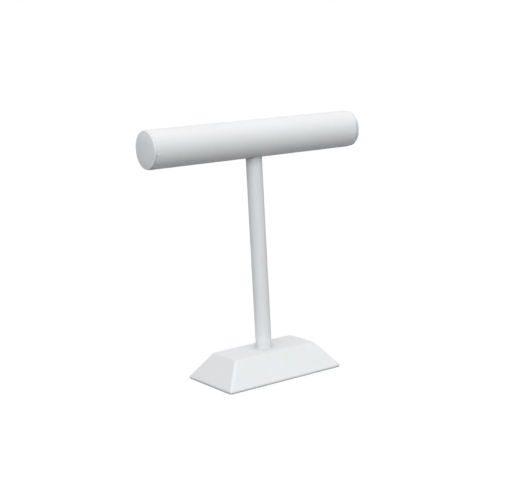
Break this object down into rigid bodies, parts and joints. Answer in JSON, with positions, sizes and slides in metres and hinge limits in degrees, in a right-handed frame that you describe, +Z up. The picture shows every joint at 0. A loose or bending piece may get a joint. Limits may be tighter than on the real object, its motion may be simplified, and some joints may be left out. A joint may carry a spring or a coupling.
{
  "type": "bracelet display stand",
  "caption": "Free-standing T-bar jewellery display: a padded-look round bar on a slim round post and a bevelled rectangular base, covered in white leatherette.",
  "frame": {"origin": "centre of the underside, on the surface that the stand rests on", "axes": "+Z up the post, +X along the bar, +Y towards the seam at the back"},
  "size_m": [0.286, 0.09, 0.3025],
  "materials": {
    "leatherette": "white leatherette, fine pebble grain, matt with a soft sheen",
    "felt": "grey flocked felt",
    "board": "bare fibreboard",
    "beech": "turned wood, bare",
    "greyboard": "plain grey cardboard",
    "steel": "zinc-plated steel"
  },
  "bodies": {
    "root": {"base_pad": "felt", "base_block": "board", "base_cover": "leatherette", "base_screw": "steel", "post_dowel": "beech", "post_cover": "leatherette", "post_stud": "steel", "bar_tube": "greyboard", "bar_plug": "beech", "bar_cover": "leatherette", "end_disc_left": "greyboard", "end_disc_right": "greyboard", "end_disc_cover_left": "leatherette", "end_disc_cover_right": "leatherette"}
  },
  "joints": []
}
